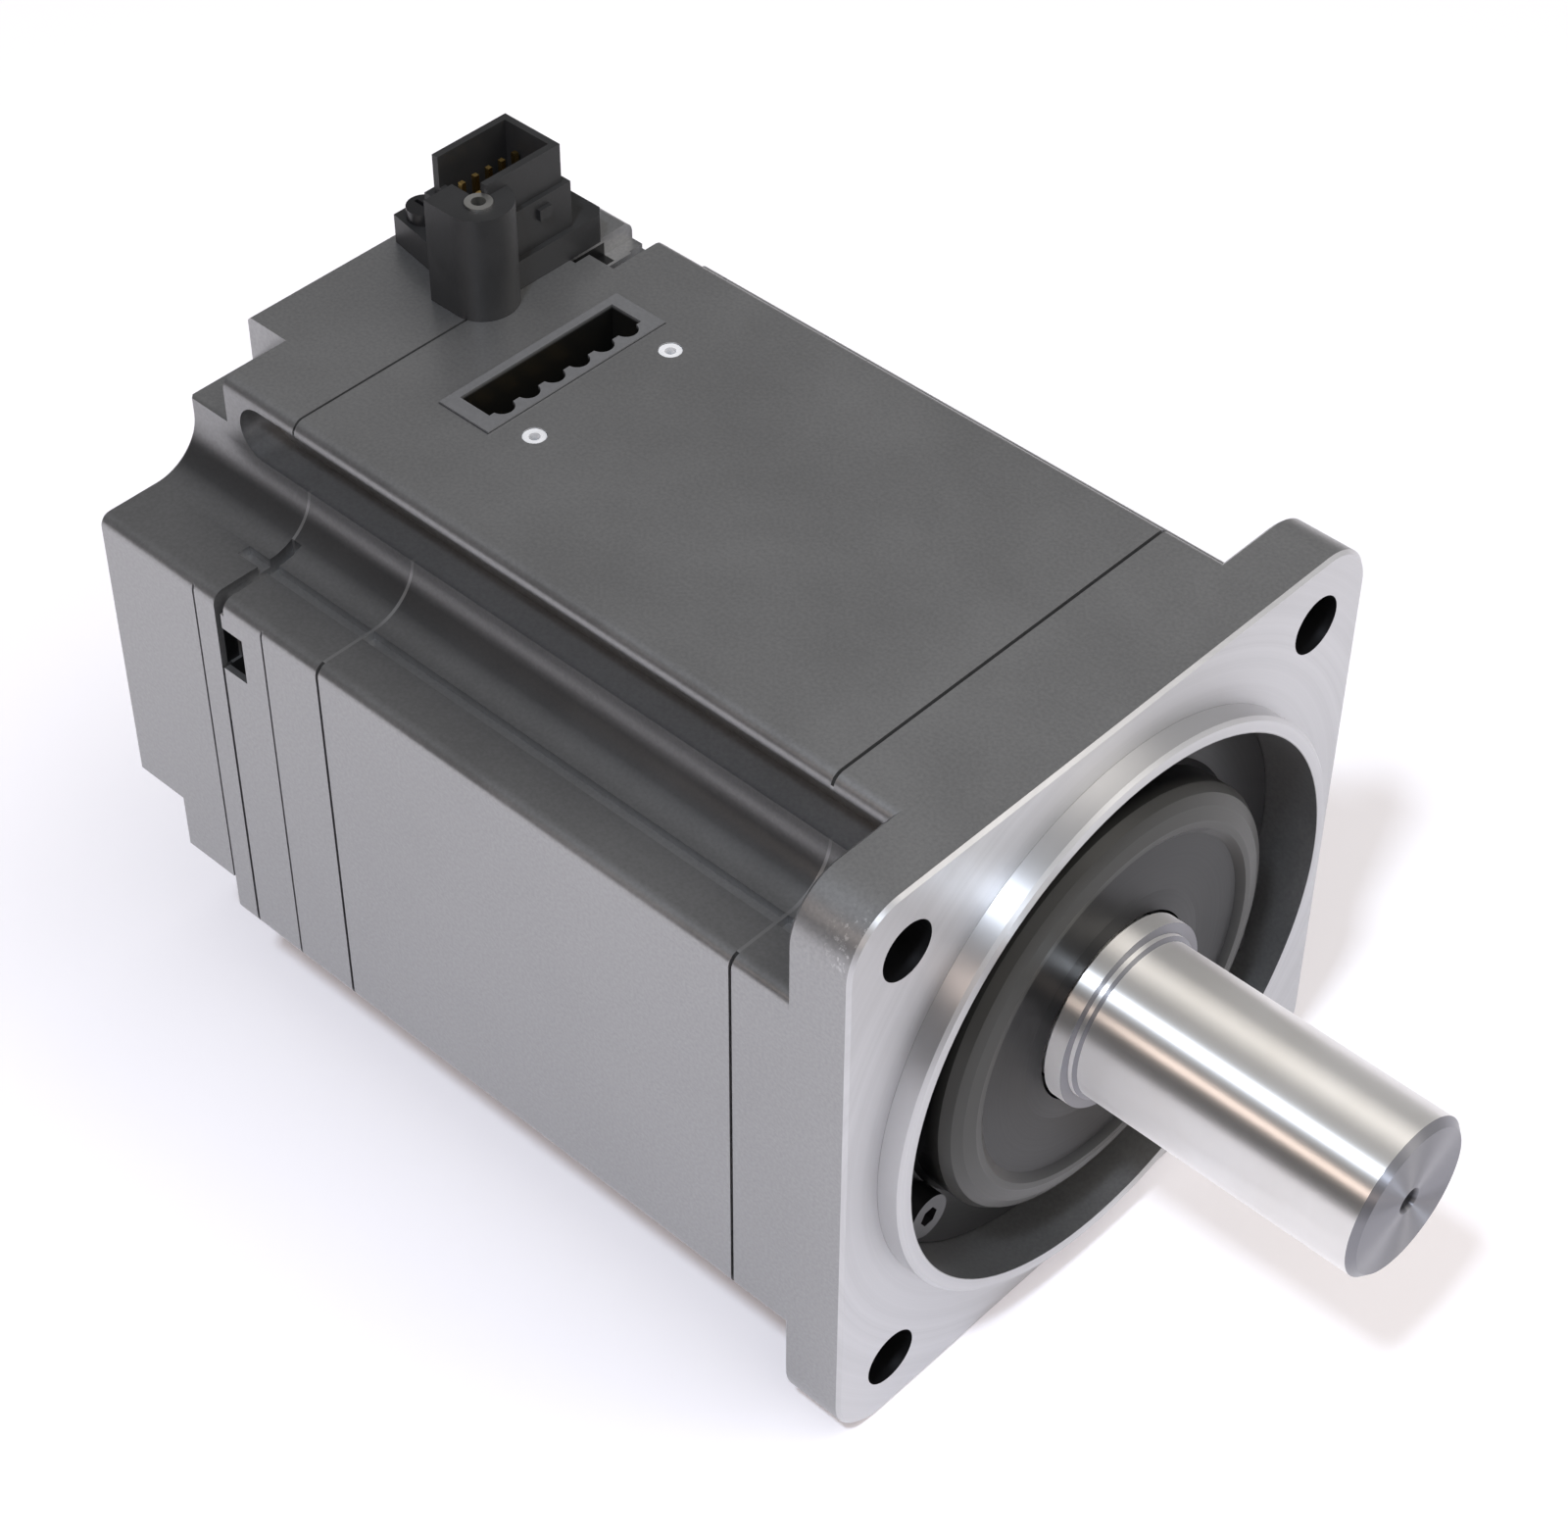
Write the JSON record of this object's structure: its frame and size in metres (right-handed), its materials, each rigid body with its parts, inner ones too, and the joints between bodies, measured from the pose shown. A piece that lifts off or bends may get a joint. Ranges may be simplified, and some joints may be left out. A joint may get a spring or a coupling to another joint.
{
  "type": "servo motor",
  "caption": "Flange-mounted brushless servo motor with a plain output shaft, a pilot ring, flush power connector and encoder connector tower on the top face.",
  "frame": {"origin": "centre of the flange's mounting face on the shaft axis", "axes": "+X along the output shaft, away from the motor; +Z towards the connectors; +Y to the left of someone looking along +X"},
  "size_m": [0.152, 0.08, 0.0948],
  "materials": {
    "painted_casting": "satin charcoal paint on cast aluminium",
    "stator_paint": "satin charcoal paint on extruded aluminium",
    "machined_aluminium": "turned",
    "black_cover": "glossy black coating",
    "black_screw": "black oxide",
    "zinc_screw": "zinc plated",
    "ground_steel": "ground",
    "bearing_steel": "polished",
    "spring_steel": "bright",
    "seal_rubber": "matte",
    "gasket": "matte",
    "lamination": "stacked sheet edges",
    "copper_wire": "enamelled winding",
    "insulator": "moulded",
    "magnet": "nickel plated",
    "sleeve": "thin stainless band",
    "board": "green solder mask",
    "black_plastic": "moulded, fine texture",
    "contact_brass": "plated",
    "disc_glass": "clear with marks"
  },
  "bodies": {
    "housing": {"front_bracket": "painted_casting", "front_bearing_cover": "black_cover", "front_cover_screws": "black_screw", "oil_seal": "seal_rubber", "seal_garter_spring": "spring_steel", "front_bearing_outer_ring": "bearing_steel", "front_bearing_shields": "spring_steel", "rear_bearing_outer_ring": "bearing_steel", "rear_bearing_shields": "spring_steel", "preload_washer": "spring_steel", "stator_core": "lamination", "slot_insulators": "insulator", "coils": "copper_wire", "connection_board": "board", "coil_leads": "copper_wire", "stator_frame": "stator_paint", "rear_bracket": "painted_casting", "encoder_cover": "painted_casting", "front_gasket": "gasket", "rear_gasket": "gasket", "cover_gasket": "gasket", "tie_bolts": "black_screw", "encoder_cover_screws": "black_screw", "power_connector": "black_plastic", "power_contacts": "contact_brass", "phase_leads": "copper_wire", "threaded_inserts": "zinc_screw", "encoder_connector": "black_plastic", "encoder_pins": "contact_brass", "plug_screw_bush": "zinc_screw", "connector_screws": "black_screw", "encoder_leads": "copper_wire", "encoder_board": "board", "encoder_chips": "black_plastic", "encoder_sensor": "black_plastic", "encoder_header": "insulator", "board_standoffs": "zinc_screw", "encoder_board_screws": "zinc_screw"},
    "rotor": {"shaft": "ground_steel", "bearing_retaining_ring": "spring_steel", "shaft_collar": "ground_steel", "rotor_core": "lamination", "rotor_end_plate": "machined_aluminium", "magnets": "magnet", "magnet_sleeve": "sleeve", "front_bearing_inner_ring": "bearing_steel", "rear_bearing_inner_ring": "bearing_steel", "encoder_hub": "machined_aluminium", "encoder_disc": "disc_glass", "encoder_hub_screw": "zinc_screw"},
    "front_rolling_set": {"front_bearing_balls": "bearing_steel", "front_bearing_cage": "insulator"},
    "rear_rolling_set": {"rear_bearing_balls": "bearing_steel", "rear_bearing_cage": "insulator"}
  },
  "joints": [
    {"name": "rotor_spin", "type": "hinge", "parent": "housing", "child": "rotor", "pos_m": [0, 0, 0], "axis": [1, 0, 0], "continuous": true},
    {"name": "front_cage_spin", "type": "hinge", "parent": "housing", "child": "front_rolling_set", "pos_m": [-0.0135, 0, 0], "axis": [1, 0, 0], "continuous": true},
    {"name": "rear_cage_spin", "type": "hinge", "parent": "housing", "child": "rear_rolling_set", "pos_m": [-0.085, 0, 0], "axis": [1, 0, 0], "continuous": true}
  ],
  "couplings": [
    {"joint": "front_cage_spin", "follows": "rotor_spin", "ratio": 0.3836},
    {"joint": "rear_cage_spin", "follows": "rotor_spin", "ratio": 0.384}
  ]
}
